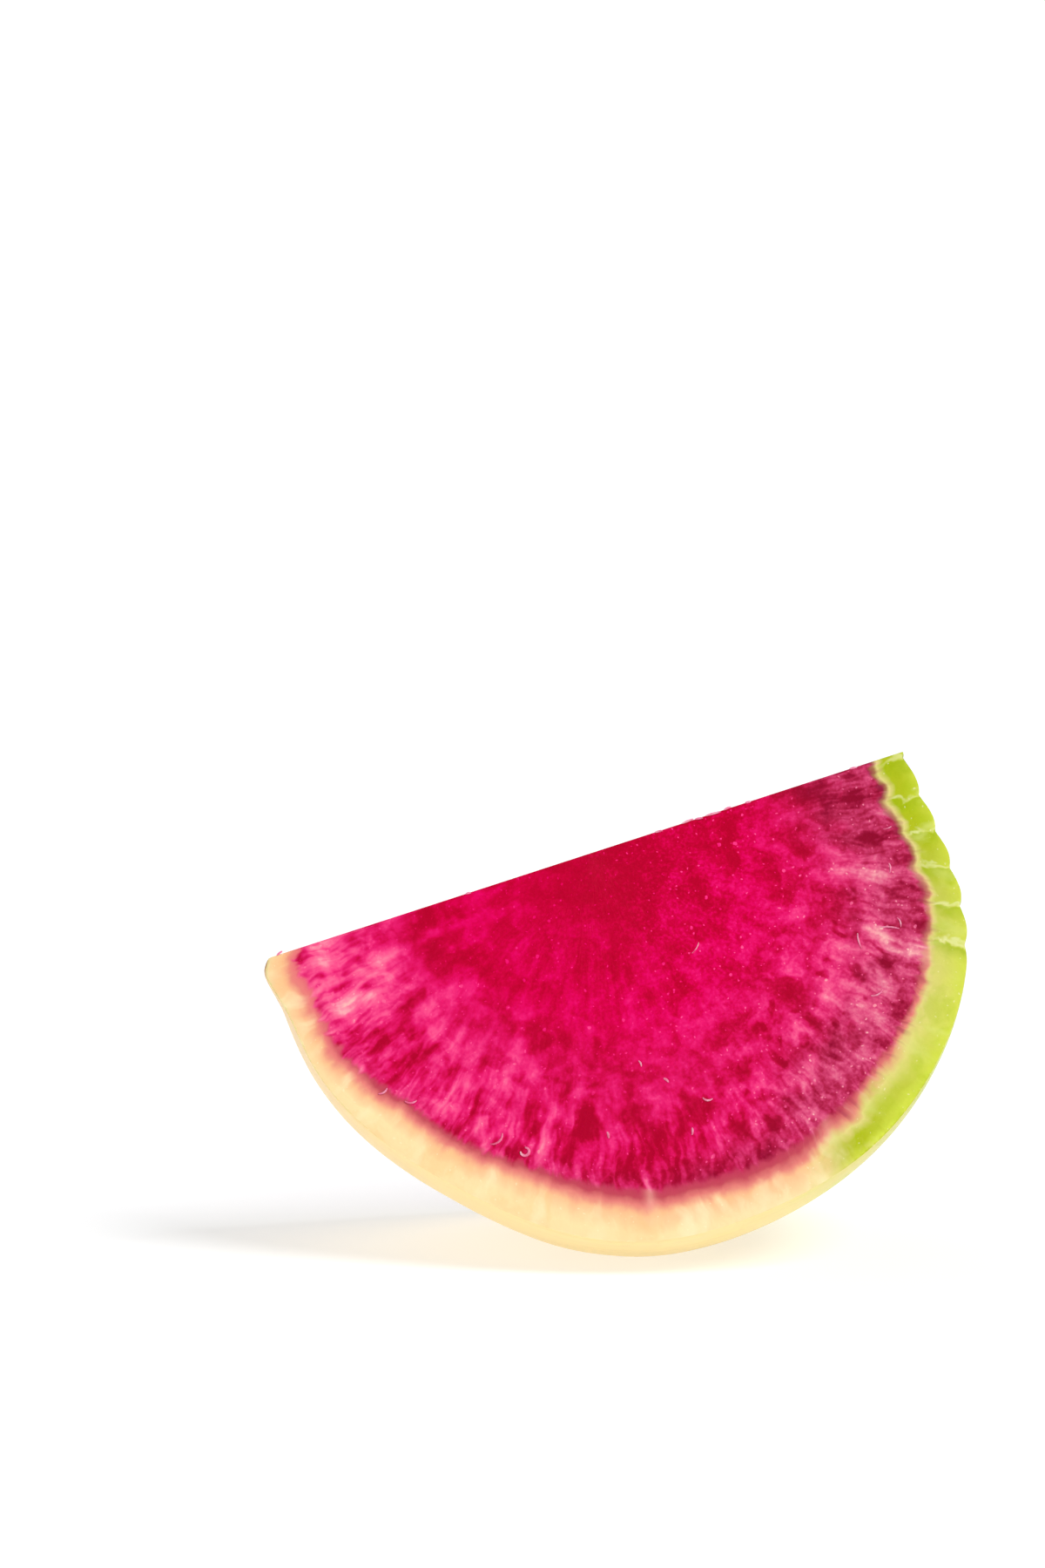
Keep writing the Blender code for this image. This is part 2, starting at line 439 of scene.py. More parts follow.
def cloud_strength(degrees, flesh):
    """How strongly the soft clouds show."""
    strength = follow(degrees, (0, 0.8), (25, 1.0), (75, 1.0), (90, 0.8), (110, 0.8), (180, 0.9))
    return strength * follow(flesh, *ALONG_A_RAY, column=2)


def streak_strength(degrees, flesh):
    """How strongly streaks along the rays show: near the rind, and over more of the root side."""
    start = follow(degrees, (0, 0.66), (70, 0.60), (95, 0.58), (112, 0.50), (180, 0.50))
    most = follow(degrees, (0, 0.20), (30, 0.15), (100, 0.15), (118, 0.17), (150, 0.18), (180, 0.22))
    return most * smooth_step(flesh, start, start + 0.26) + 0.06 * band(flesh, 0.20, 0.36, 0.50, 0.68)


def dust_share(degrees, flesh):
    """Where the magenta turns dusty: a little half-way out, and to plum just under the rind."""
    most = follow(
        degrees, (0, 0.9), (62, 0.9), (78, 0.7), (105, 0.5), (120, 0.25), (150, 0.25), (180, 0.15))
    start = follow(
        degrees, (0, 0.58), (14, 0.60), (30, 0.64), (66, 0.68), (80, 0.80), (100, 0.88), (180, 0.92))
    end = follow(degrees, (0, 0.90), (66, 0.96), (100, 1.00), (180, 1.02))
    return 0.22 * smooth_step(flesh, 0.45, 0.70) + most * smooth_step(flesh, start, end)


# Pale rays of the front cut face. Degrees from the crown at the inner and the outer end, both ends
# as shares of the flesh, width in millimetres at both ends, strength
PALE_RAYS = (
    (0.8, 0.0, 0.78, 0.96, 0.6, 1.5, 0.35),
    (17.2, 9.4, 0.52, 1.08, 1.2, 2.6, 0.34),
    (25.6, 22.3, 0.60, 1.12, 1.4, 2.4, 0.50),
    (16.6, 16.3, 0.88, 1.10, 0.4, 1.2, 0.50),
    (28.9, 28.6, 0.90, 1.10, 0.4, 1.0, 0.45),
    (36.4, 37.8, 0.78, 1.14, 2.2, 3.0, 0.80),
    (69.6, 70.3, 0.90, 1.10, 0.8, 1.9, 0.75),
    (100.2, 100.5, 0.84, 1.12, 0.6, 1.3, 0.80),
    (113.0, 113.0, 0.74, 0.90, 0.9, 1.0, 0.35),
    (117.8, 118.3, 0.72, 0.96, 2.4, 1.9, 0.62),
    (129.6, 130.5, 0.70, 0.98, 2.2, 1.4, 0.50),
    (137.5, 138.0, 0.72, 0.97, 1.3, 1.1, 0.40),
    (164.2, 166.0, 0.72, 0.98, 2.0, 3.0, 0.55),
    (168.4, 169.4, 0.66, 0.90, 1.6, 2.4, 0.50),
    (176.0, 177.4, 0.76, 0.99, 2.2, 3.4, 0.50),
)

# Soft patches of the same face: degrees, share of the flesh, width across the rays and length
# along them in millimetres, change of tone
TONE_PATCHES = (
    (112.0, 0.80, 6.5, 9.0, -0.14),
    (124.0, 0.90, 4.0, 6.0, -0.05),
    (150.0, 0.92, 8.0, 4.0, -0.05),
    (160.0, 0.93, 3.0, 4.0, -0.08),
    (28.0, 0.74, 4.0, 5.0, -0.12),
    (120.0, 0.62, 9.0, 8.0, -0.04),
    (150.0, 0.50, 9.0, 6.0, -0.04),
    (170.0, 0.62, 7.0, 6.0, -0.12),
    (99.0, 0.50, 10.0, 6.0, 0.07),
    (173.5, 0.826, 1.2, 1.8, -0.34),
    (167.2, 0.821, 1.2, 1.6, -0.34),
    (172.5, 0.897, 0.8, 0.9, -0.24),
    (173.1, 0.932, 0.8, 0.9, -0.24),
    (169.3, 0.905, 0.9, 3.2, -0.30),
    (175.5, 0.725, 1.6, 3.4, -0.24),
    (178.1, 0.984, 1.0, 1.0, -0.30),
    (56.6, 0.674, 1.8, 2.4, -0.22),
    (54.2, 0.766, 1.3, 2.4, -0.20),
    (57.9, 0.794, 1.7, 2.6, -0.26),
    (49.3, 0.812, 1.2, 2.0, -0.22),
    (44.0, 0.812, 1.4, 2.4, -0.26),
    (40.3, 0.891, 1.4, 2.2, -0.24),
    (68.5, 0.775, 1.3, 1.8, -0.20),
    (66.6, 0.661, 1.8, 2.4, -0.22),
)
FLESH_REACH = 39.0  # Millimetres from the hub to the rind


def ray_marks(degrees, flesh):
    """Strength of the pale rays at each point."""
    marks = np.zeros(len(degrees))
    for inner, outer, start, end, slim, wide, strength in PALE_RAYS:
        along = np.clip((flesh - start) / (end - start), 0.0, 1.0)
        middle = inner + (outer - inner) * along
        across = np.radians(degrees - middle) * flesh * FLESH_REACH
        wander = 0.25 * np.sin(flesh * 34.0 + inner)
        half_width = (slim + (wide - slim) * along) / 2.0
        body = np.exp(-np.abs((across + wander) / half_width) ** 1.6)
        body *= band(flesh, start - 0.05, start + 0.22, end - 0.06, end)
        marks = np.maximum(marks, strength * body)
    return marks


def patch_marks(degrees, flesh):
    """Change of tone that the soft patches give at each point."""
    marks = np.zeros(len(degrees))
    for centre, middle, width, length, change in TONE_PATCHES:
        across = np.radians(degrees - centre) * flesh * FLESH_REACH / (width / 2.0)
        along = (flesh - middle) * FLESH_REACH / (length / 2.0)
        marks += change * np.exp(-(across**2 + along**2))
    return marks


def flesh_finish(facts):
    """What the flesh's finish reads at each point, as three vectors of three strengths."""
    degrees, flesh = facts[:, 0] * 180.0, facts[:, 1]
    front = facts[:, 2] < 0.5
    # The back face has the same zones a little further round, and its own rays and patches
    turned = np.where(front, degrees, degrees * 0.95 + 5.0)
    rays = np.where(front, ray_marks(degrees, flesh), ray_marks(degrees * 0.9 + 1.5, flesh))
    patches = np.where(front, patch_marks(degrees, flesh), patch_marks(degrees * 1.04 - 4.0, flesh))
    dots = follow(turned, (22, 0.0), (32, 1.0), (72, 1.0), (86, 0.5), (110, 0.3), (180, 0.3))
    dots = dots * band(flesh, 0.58, 0.70, 0.90, 0.98)
    fibres = smooth_step(flesh, 0.62, 0.94)
    # Where the pale flecks, the painted wet glints and the fine grain show
    flecks_glints_and_grain = follow(turned, (0, 1.0), (66, 1.0), (84, 0.7), (110, 0.6), (140, 0.5), (180, 0.4))
    flecks_glints_and_grain *= follow(flesh, (0.0, 0.55), (0.3, 0.6), (0.6, 0.5), (0.8, 0.45), (0.95, 0.6))
    growing = follow(
        turned, (60, 0.0), (76, 0.8), (86, 1.0), (108, 1.0), (122, 0.4), (150, 0.4), (167, 0.0))
    return (
        np.stack((tone_of_flesh(turned, flesh) + patches, cloud_strength(turned, flesh),
                  streak_strength(turned, flesh)), axis=1),
        np.stack((rays, dust_share(turned, flesh), dots), axis=1),
        np.stack((fibres, flecks_glints_and_grain, growing), axis=1),
    )


# Relief, with heights in millimetres
KNIFE_WAVES = 0.06
FIBRE_RIDGES = 0.030
CELL_GRAIN = 0.022
RIM_GROOVE = 0.07
LEAF_SCARS = 0.16
CROWN_ROUGHNESS = 0.08
SKIN_WRINKLES = 0.020
SKIN_DIMPLES = 0.05
ROOT_SCAR = 0.12
EDGE_ROUNDING = 0.06


def noise_at(points, size, seed):
    """Smooth noise, about -1 to 1, with features of the given size at each point."""
    shift = Vector((seed * 7.3, seed * 3.1, seed * 5.7))
    return np.array([noise.noise(Vector(p) / size + shift) for p in points])


def relieve_cut_faces(points, facts, on_cut):
    """Low relief of the cut flesh, square to each cut face: knife waves, fibres and soft grain."""
    inner = np.flatnonzero(on_cut & (facts[:, 3] > 0.05) & (np.abs(facts[:, 2]) > 0.5))
    spots = points[inner]
    turn, flesh, side, depth, share, _ = facts[inner].T
    # Fibres 0.9 mm apart and 5 mm long lie along the rays
    ray_space = np.stack((turn * 135.0 / 0.9, flesh * FLESH_REACH / 5.0, side * 4.0), axis=1)
    height = KNIFE_WAVES * noise_at(spots, 11.0 * MM, 1) + CELL_GRAIN * noise_at(spots, 1.1 * MM, 3)
    height += FIBRE_RIDGES * noise_at(ray_space, 1.0, 2) * smooth_step(flesh, 0.25, 0.7)
    height -= RIM_GROOVE * np.exp(-(((share - 1.02) / 0.10) ** 2))
    height *= smooth_step(depth, 0.0, 0.8)
    outward = np.stack(np.broadcast_arrays(
        -sin(HALF_ANGLE) * sin(CROWN_LIFT), side * cos(HALF_ANGLE), sin(HALF_ANGLE) * cos(CROWN_LIFT),
    ), axis=1)
    points[inner] += outward * (height * MM)[:, None]


def relieve_skin(points, facts, normals, on_skin):
    """Low relief of the skin: leaf scars on the crown, faint wrinkles and the root's scar."""
    spots = points[on_skin]
    turn, _, swing, _, _, ring = facts[on_skin].T
    crown = (1.0 - smooth_step(ring, 4.4, 6.0)) * (turn < 0.5)
    scars = 0.5 - 0.5 * np.sin(swing * 5.2 + np.floor(ring) * 2.1)
    skin_space = np.stack((turn * 14.0, swing * 9.0, swing * 0.0), axis=1)
    height = (CROWN_ROUGHNESS * noise_at(spots, 1.4 * MM, 4) - LEAF_SCARS * scars) * crown
    height += SKIN_WRINKLES * noise_at(skin_space, 1.0, 5) + SKIN_DIMPLES * noise_at(spots, 6.0 * MM, 6)
    height += ROOT_SCAR * noise_at(spots, 0.8 * MM, 7) * smooth_step(turn, 0.975, 0.992)
    # The relief fades out towards both cut faces
    height *= np.minimum(1.0, (1.0 - np.abs(swing)) / 0.05)
    points[on_skin] += normals[on_skin] * (height * MM)[:, None]


# Materials


def material_with_shader(name, finish):
    """A material with one Principled shader set to a finish, and what adds a node to it."""
    material = bpy.data.materials.new(name)
    material.use_nodes = True
    shader = material.node_tree.nodes["Principled BSDF"]
    for socket, value in finish.items():
        shader.inputs[socket].default_value = value
    return material, partial(add_node, material.node_tree), shader


def read_attributes(node, *names):
    """Each stored attribute as a socket, then its three values as sockets."""
    sockets = []
    for name in names:
        stored = node("Attribute", output="Vector", attribute_name=name)
        parts = node("SeparateXYZ", stored).node.outputs
        sockets.append((stored, parts["X"], parts["Y"], parts["Z"]))
    return sockets


def wavy(node, value, field, drift, spread=0.2):
    """A value that drifts up and down with a noise field, whose middle is 0.5."""
    change = node("MapRange", field, 0.5 - spread, 0.5 + spread, -drift, drift)
    return node("Math", value, change, operation="ADD")


def noise_of_cells(node, space, cells, detail, roughness):
    """Noise with so many cells to each unit of a space."""
    stretched = node("VectorMath", space, cells, operation="MULTIPLY")
    return node("TexNoise", stretched, 1.0, detail, roughness)


def finish_surface(node, shader, colour, height, strength):
    """Give the shader its colour and a bump a tenth of a millimetre high."""
    links = shader.id_data.links
    links.new(colour, shader.inputs["Base Color"])
    links.new(node("Bump", strength, 0.1 * MM, None, height), shader.inputs["Normal"])


def lay_over(node, ground, layers):
    """Lay colours over a ground, one after the other.

    A layer shows more as its field runs from one value to the other, up to a most, in its zones.
    """
    for field, zones, start, end, most, colour in layers:
        shown = node("MapRange", field, start, end, 0.0, most)
        for zone in zones:
            shown = node("Math", shown, zone, operation="MULTIPLY")
        ground = node("Mix", shown, ground, linear(colour), data_type="RGBA")
    return ground


# Colours of wet flesh from deep to pale: fully dyed, and dusty under the rind
VIVID_FLESH = (
    (0.00, "#B6002B"), (0.06, "#BD0030"), (0.10, "#C50037"), (0.14, "#CD0040"), (0.19, "#D7004D"),
    (0.25, "#E1035D"), (0.33, "#E9126C"), (0.40, "#F02577"), (0.47, "#F53681"), (0.54, "#F94788"),
    (0.65, "#FB5B90"), (0.74, "#FD7098"), (0.81, "#FE82A0"), (0.89, "#FF95AA"), (1.00, "#FEB2B0"),
)
DUSTY_FLESH = (
    (0.00, "#8E0A2C"), (0.08, "#961036"), (0.15, "#A2183E"), (0.25, "#B3264E"), (0.32, "#BE305D"),
    (0.39, "#C93C69"), (0.49, "#D74E7A"), (0.59, "#DE6286"), (0.73, "#E67E96"), (0.80, "#EC909E"),
    (0.91, "#F2A8AA"), (1.00, "#F5BEB8"),
)

# One colour for each layer of the rim
PLUM_FLESH = "#902040"
CRIMSON_FLESH = "#C02858"
PINK_FLESH = "#E83870"
GROWING_LAYER = "#C04858"
BROWN_LINE = "#A87850"
ROSE_BLEED = "#E48078"
PEACH_BLEED = "#F8C090"
CREAM_RIND = "#FCE0A8"
DULL_CREAM = "#F0D8A0"
PALE_GREEN = "#E0D480"
GREEN_RIND = "#B0BC20"
YELLOW_GREEN = "#D0DC48"

# The rim's layers from flesh to skin, as they change round the hub. Degrees from the crown, then
# distance outwards in millimetres from where flesh turns to rind, with the layer
RIM_FROM = -2.6
RIM_TO = 5.4
RIM_LAYERS = (
    # Crown end: plum flesh, a brown line, then green rind
    (16, ((-2.4, PLUM_FLESH), (-0.3, PLUM_FLESH), (0.15, BROWN_LINE), (0.55, PALE_GREEN),
          (1.3, GREEN_RIND), (2.2, GREEN_RIND), (5.2, YELLOW_GREEN))),
    # Shoulder: a rosy line, pale inner rind and yellow-green outer rind
    (45, ((-2.4, CRIMSON_FLESH), (-0.5, GROWING_LAYER), (0.25, ROSE_BLEED), (0.8, PALE_GREEN),
          (5.2, YELLOW_GREEN))),
    # The green gives out in a last deep patch, and the growing layer begins to show
    (68, ((-2.4, CRIMSON_FLESH), (-0.4, GROWING_LAYER), (0.8, ROSE_BLEED), (1.8, PALE_GREEN),
          (3.0, GREEN_RIND), (3.8, GREEN_RIND), (5.0, YELLOW_GREEN))),
    # Under the hub: the growing layer, a peach bleed of dye, cream rind
    (78, ((-2.4, CRIMSON_FLESH), (-0.6, GROWING_LAYER), (0.4, ROSE_BLEED), (1.4, PEACH_BLEED),
          (4.0, CREAM_RIND))),
    (100, ((-2.4, CRIMSON_FLESH), (-0.8, GROWING_LAYER), (0.0, ROSE_BLEED), (1.2, PEACH_BLEED),
           (3.6, CREAM_RIND))),
    # Root side and root end: the same layers, with a duller skin side
    (150, ((-2.2, CRIMSON_FLESH), (-0.5, GROWING_LAYER), (0.3, ROSE_BLEED), (1.2, PEACH_BLEED),
           (2.6, CREAM_RIND), (5.0, DULL_CREAM))),
    (170, ((-2.2, PINK_FLESH), (0.6, ROSE_BLEED), (1.8, PEACH_BLEED), (3.6, DULL_CREAM))),
)


def cell_fields(node, spot, ray):
    """Noise fields of the cut cells, flecks and painted glints, by name, which wander by up to a
    millimetre.
    """
    drift = node("TexNoise", spot, 260.0, 2.0, output="Color")
    drift = node("VectorMath", drift, (0.5, 0.5, 0.5), operation="SUBTRACT")
    along = node("VectorMath", drift, (0.022, 0.05, 0.0), ray, operation="MULTIPLY_ADD")
    free = node("VectorMath", drift, 3 * (0.004,), spot, operation="MULTIPLY_ADD")
    # Cells along the rays are counted to a turn of 85 mm and a reach of 39 mm, free ones to a metre
    fields = {}
    for name, space, cells, detail, roughness in (
        ("streak", along, (44.0, 4.4, 6.0), 3.0, 0.50),  # 1.9 by 9 mm
        ("blotch", along, (50.0, 17.0, 6.0), 1.0, 0.50),  # 1.7 by 2.3 mm
        ("fibre", along, (170.0, 13.0, 6.0), 1.0, 0.50),  # 0.5 by 3 mm
        ("comb", along, (120.0, 2.0, 6.0), 1.0, 0.50),  # 0.7 mm apart, as long as the rim
        ("cloud", free, 3 * (250.0,), 3.0, 0.52),  # 4 mm
        ("mottle", free, 3 * (560.0,), 2.0, 0.50),  # 1.8 mm
        ("grain", spot, 3 * (2600.0,), 1.0, 0.50),  # 0.4 mm
    ):
        fields[name] = noise_of_cells(node, space, cells, detail, roughness)

    # Torn flecks and painted wet glints: dots of 0.2 mm and short curls of 0.5 mm, some brighter than
    # others
    drift = node("TexNoise", spot, 1500.0, 1.0, output="Color")
    torn = node("VectorMath", drift, 3 * (0.0005,), spot, operation="MULTIPLY_ADD")
    for name, scale, size in (("fleck_and_glint_dot", 1500.0, 0.26), ("fleck_and_glint_curl", 560.0, 0.20)):
        cell = node("TexVoronoi", torn, scale, output="Distance")
        brightness = node("SeparateColor", cell.node.outputs["Color"])
        near = node("MapRange", cell, size, size * 0.4)
        fields[name] = node("Math", near, brightness, operation="MULTIPLY")
    return fields


def dyed_flesh(node, fields, turn, wavy_inset, tones, marks, fine):
    """Colour of the flesh: its fields change the tone, as strongly as their zones say."""
    _, base, clouds, streaks = tones
    _, rays, dust, dots = marks
    _, fibres, flecks_glints_and_grain, _ = fine
    near_rind = node("MapRange", wavy_inset, -3.2, -0.8, interpolation_type="SMOOTHSTEP")
    comb_zone = node("ValToRGB", turn, stops=(
        (0.00, 0.5), (0.14, 0.6), (0.26, 1.0), (0.42, 1.0), (0.52, 0.5), (0.68, 0.8), (0.90, 0.7),
    ))
    combed = node("Math", comb_zone, near_rind, operation="MULTIPLY")
    tone = base
    for name, zone, start, end, low, high in (
        ("cloud", clouds, 0.30, 0.74, -0.70, 1.05),
        ("mottle", clouds, 0.30, 0.74, -0.40, 0.60),
        ("streak", streaks, 0.30, 0.72, -0.62, 1.05),
        ("blotch", dots, 0.58, 0.70, 0.0, -0.20),
        ("fibre", fibres, 0.30, 0.70, -0.10, 0.14),
        ("streak", rays, 0.25, 0.65, 0.40, 0.70),
        ("comb", combed, 0.54, 0.72, 0.0, 0.25),
        # Pale dots and curls: torn flecks, and wet glints painted into the colour as highlights
        ("fleck_and_glint_dot", flecks_glints_and_grain, 0.20, 0.80, 0.0, 0.70),
        ("fleck_and_glint_curl", flecks_glints_and_grain, 0.40, 0.80, 0.0, 0.65),
        ("grain", flecks_glints_and_grain, 0.35, 0.75, -0.07, 0.14),
    ):
        change = node("MapRange", fields[name], start, end, low, high, interpolation_type="SMOOTHSTEP")
        tone = node("Math", change, zone, tone, operation="MULTIPLY_ADD")
    vivid = node("ValToRGB", tone, stops=VIVID_FLESH)
    dusty = node("ValToRGB", tone, stops=DUSTY_FLESH)
    dust_drift = node("MapRange", fields["cloud"], 0.35, 0.65, 1.2, 0.8)
    dusted = node("Math", dust, dust_drift, operation="MULTIPLY", use_clamp=True)
    return node("Mix", dusted, vivid, dusty, data_type="RGBA")


def layered_rim(node, fields, turn, inset, wavy_inset, ring, rays):
    """Colour of the rim: layers that change round the hub, in ragged wisps along the rays."""
    wisps = node("MapRange", fields["streak"], 0.3, 0.7, -0.45, 0.45)
    outwards = node("MapRange", inset, -1.0, 1.0, 0.2, 1.0)
    ragged = node("Math", wisps, outwards, wavy_inset, operation="MULTIPLY_ADD")
    rim_place = node("MapRange", ragged, RIM_FROM, RIM_TO)
    place_round = wavy(node, turn, fields["cloud"], 0.02)
    rim, before = None, 0
    for degrees, colours in RIM_LAYERS:
        stops = [((outward - RIM_FROM) / (RIM_TO - RIM_FROM), colour) for outward, colour in colours]
        here = node("ValToRGB", rim_place, stops=stops)
        if rim is None:
            rim = here
        else:
            further = node("MapRange", place_round, before / 180.0, degrees / 180.0)
            rim = node("Mix", further, rim, here, data_type="RGBA")
        before = degrees

    # Crown rind: each ring groove runs in as a pale wavy lip, with a painted shadow in deeper green
    # on its outer side, beside the lip
    ring_place = node("Math", wavy(node, ring, fields["mottle"], 0.14), operation="FRACT")
    lip = node("ValToRGB", ring_place, stops=(
        (0.00, 0.8), (0.02, 0.8), (0.08, 0.0), (0.92, 0.0), (0.98, 0.8),
    ))
    lip_shadow = node("ValToRGB", ring_place, stops=(
        (0.05, 0.0), (0.11, 0.7), (0.24, 0.45), (0.50, 0.0),
    ))
    torn = node("MapRange", fields["cloud"], 0.40, 0.58, 0.25, 0.9)
    rind = node("MapRange", ragged, 0.2, 1.4)
    crown = node("MapRange", ring, 5.9, 5.3)
    crown = node("Math", crown, rind, operation="MULTIPLY")
    green = node("MapRange", turn, 0.44, 0.36)
    cream = node("Math", 1.0, green, operation="SUBTRACT")
    fringe = node("MapRange", wavy_inset, 1.5, 0.3)
    return lay_over(node, rim, (
        # Painted shadow in deeper green beside each lip
        (lip_shadow, (crown, rind), 0.0, 1.0, 0.9, "#98B008"),
        (lip, (torn, crown, rind), 0.0, 1.0, 0.9, "#E6E8A4"),
        (fields["cloud"], (green, rind), 0.50, 0.36, 0.35, "#AAC010"),
        (fields["streak"], (green, rind), 0.54, 0.72, 0.40, "#E2E68C"),
        (fields["cloud"], (cream, rind), 0.50, 0.34, 0.35, "#F6C484"),
        (fields["streak"], (cream, rind), 0.54, 0.72, 0.55, "#FFF0C4"),
        # Pale dots on the rind: torn flecks and painted wet glints
        (fields["fleck_and_glint_dot"], (rind,), 0.4, 0.8, 0.35, "#FFF6D0"),
        # Cut ends of the long cells fringe the green rim, dark and pale by turns
        (fields["comb"], (fringe, green), 0.47, 0.34, 0.50, "#9A2248"),
        (fields["comb"], (fringe, green), 0.54, 0.70, 0.45, "#F0BEA8"),
        # The pale rays of the flesh run on a little way into the rim
        (wavy_inset, (rays,), 1.4, -0.2, 0.8, "#F3AE9E"),
    ))


def cut_radish_flesh():
    """Watermelon radish flesh and rind, cut with a knife and still wet.

    Juicy root flesh is full of water and deeply dyed, so it looks saturated and hardly milky. The
    dye is uneven in soft clouds. The knife opens long cells that run out from the middle and show as
    pale and dark streaks, and leaves tiny torn flecks. Pale dots over the flesh are these flecks and
    wet glints, the glints painted into the colour as highlights.
    """
    material, node, shader = material_with_shader("cut_radish_flesh", {
        "Roughness": 0.42, "IOR": 1.36, "Specular IOR Level": 0.05, "Subsurface Weight": 0.06,
        "Subsurface Radius": (1.0, 0.3, 0.25), "Subsurface Scale": 0.0010,
    })
    spot = node("TexCoord", output="Object")
    (ray, turn, _, _), (_, inset, _, ring), tones, marks, fine = read_attributes(
        node, "ray", "rind", "tones", "marks", "fine")
    rays, growing = marks[1], fine[3]
    fields = cell_fields(node, spot, ray)
    wavy_inset = wavy(node, inset, fields["mottle"], 0.22, 0.25)
    flesh = dyed_flesh(node, fields, turn, wavy_inset, tones, marks, fine)
    rim = layered_rim(node, fields, turn, inset, wavy_inset, ring, rays)

    # Flesh gives way to the rim early where the growing layer shows, and later at the crown
    comb_drift = node("MapRange", fields["comb"], 0.3, 0.7, 1.0, -1.0)
    comb_reach = node("MapRange", growing, 0.0, 1.0, 0.55, 0.35)
    meets = node("Math", comb_drift, comb_reach, wavy_inset, operation="MULTIPLY_ADD")
    meets_from = node("MapRange", growing, 0.0, 1.0, -0.75, -2.2)
    meets_to = node("MapRange", growing, 0.0, 1.0, 0.10, -1.2)
    rim_share = node("MapRange", meets, meets_from, meets_to, interpolation_type="SMOOTHSTEP")
    colour = node("Mix", rim_share, flesh, rim, data_type="RGBA")
    height = node("Math", fields["grain"], fields["fibre"], operation="ADD")
    finish_surface(node, shader, colour, height, 0.4)
    return material


def waxy_radish_skin():
    """Radish skin, washed: thin, tight and waxy, with a soft wide shine.

    It is cream over most of the root and turns green where the crown stood in the light.
    """
    material, node, shader = material_with_shader("waxy_radish_skin", {
        "Roughness": 0.36, "IOR": 1.40, "Specular IOR Level": 0.18, "Subsurface Weight": 0.20,
        "Subsurface Radius": (1.0, 0.8, 0.4), "Subsurface Scale": 0.0015, "Coat Weight": 0.03,
        "Coat Roughness": 0.25,
    })
    spot = node("TexCoord", output="Object")
    (ray, turn, _, _), (_, _, _, ring) = read_attributes(node, "ray", "rind")
    blotch = node("TexNoise", spot, 90.0, 4.0, 0.6)
    base = node("ValToRGB", wavy(node, turn, blotch, 0.05), stops=(
        (0.00, "#A8BC30"), (0.16, "#B4C82C"), (0.28, "#CCDA50"), (0.38, "#E6E07C"),
        (0.46, "#F8E296"), (0.55, "#FCE3A2"), (0.80, "#FADC9C"), (0.96, "#EFCB94"),
    ))
    # Faint lines along the root, about 1.5 mm apart, and wide leaf scars round the crown
    lines = noise_of_cells(node, ray, (7.0, 0.0, 26.0), 3.0, 0.6)
    scars = noise_of_cells(node, ray, (34.0, 0.0, 3.2), 3.0, 0.6)
    # Each ring groove of the crown is drawn in olive with a pale dry lip
    ring_place = node("Math", wavy(node, ring, blotch, 0.10), operation="FRACT")
    groove = node("ValToRGB", ring_place, stops=(
        (0.00, 1.0), (0.05, 0.9), (0.16, 0.0), (0.94, 0.0), (0.99, 1.0),
    ))
    lip = node("ValToRGB", ring_place, stops=(
        (0.70, 0.0), (0.86, 0.8), (0.93, 0.8), (0.97, 0.0),
    ))
    speckle = node("TexNoise", spot, 700.0, 4.0, 0.7)
    near_crown = node("MapRange", turn, 0.17, 0.14)
    ringed = node("MapRange", ring, 6.3, 5.2)
    crown = (near_crown, ringed)
    skin = lay_over(node, base, (
        (lines, (), 0.5, 0.8, 0.45, "#E4C98C"),
        (scars, crown, 0.48, 0.64, 0.75, "#CFC687"),
        (lip, crown, 0.0, 1.0, 0.65, "#DEE09A"),
        (groove, crown, 0.0, 1.0, 0.75, "#7C8C28"),
        (speckle, (), 0.56, 0.74, 0.22, "#D8B878"),
        (speckle, crown, 0.46, 0.30, 0.45, "#8EA42C"),
        # The scar where the thin end of the root broke off
        (turn, (), 0.972, 0.988, 0.9, "#BE9464"),
    ))
    pores = node("TexNoise", spot, 900.0, 3.0, 0.6)
    finish_surface(node, shader, skin, pores, 0.25)
    return material


def torn_radish_flesh():
    """Flecks that the knife lifted: the same flesh in thin shreds, which dry pale and let light in."""
    material, node, shader = material_with_shader("torn_radish_flesh", {
        "Roughness": 0.35, "Specular IOR Level": 0.3, "Subsurface Weight": 0.3,
        "Subsurface Radius": (1.0, 0.5, 0.5), "Subsurface Scale": 0.0008,
    })
    spot = node("TexCoord", output="Object")
    patch = node("TexNoise", spot, 900.0, 2.0)
    colour = node("ValToRGB", patch, stops=(
        (0.30, "#E8507E"), (0.50, "#F47CA2"), (0.68, "#FAB0C0"),
    ))
    material.node_tree.links.new(colour, shader.inputs["Base Color"])
    return material


def studio_paper():
    """White paper sweep, matt."""
    return material_with_shader("studio_paper", {
        "Base Color": linear("#C4C5C7"), "Roughness": 0.8, "Emission Color": linear("#FFFFFF"),
        "Emission Strength": 0.52,
    })[0]


# The wedge


def store(mesh, name, values):
    """Keep three values for each point on the mesh, for the materials to read."""
    attribute = mesh.attributes.new(name, "FLOAT_VECTOR", "POINT")
    attribute.data.foreach_set("vector", np.ascontiguousarray(values, dtype=np.float32).ravel())


def point_normals(points, triangles):
    """Area-weighted normals of the points."""
    corners = points[triangles]
    faces = np.cross(corners[:, 1] - corners[:, 0], corners[:, 2] - corners[:, 0])
    normals = np.zeros_like(points)
    for i in range(3):
        np.add.at(normals, triangles[:, i], faces)
    return normals / np.maximum(np.linalg.norm(normals, axis=1), 1e-20)[:, None]


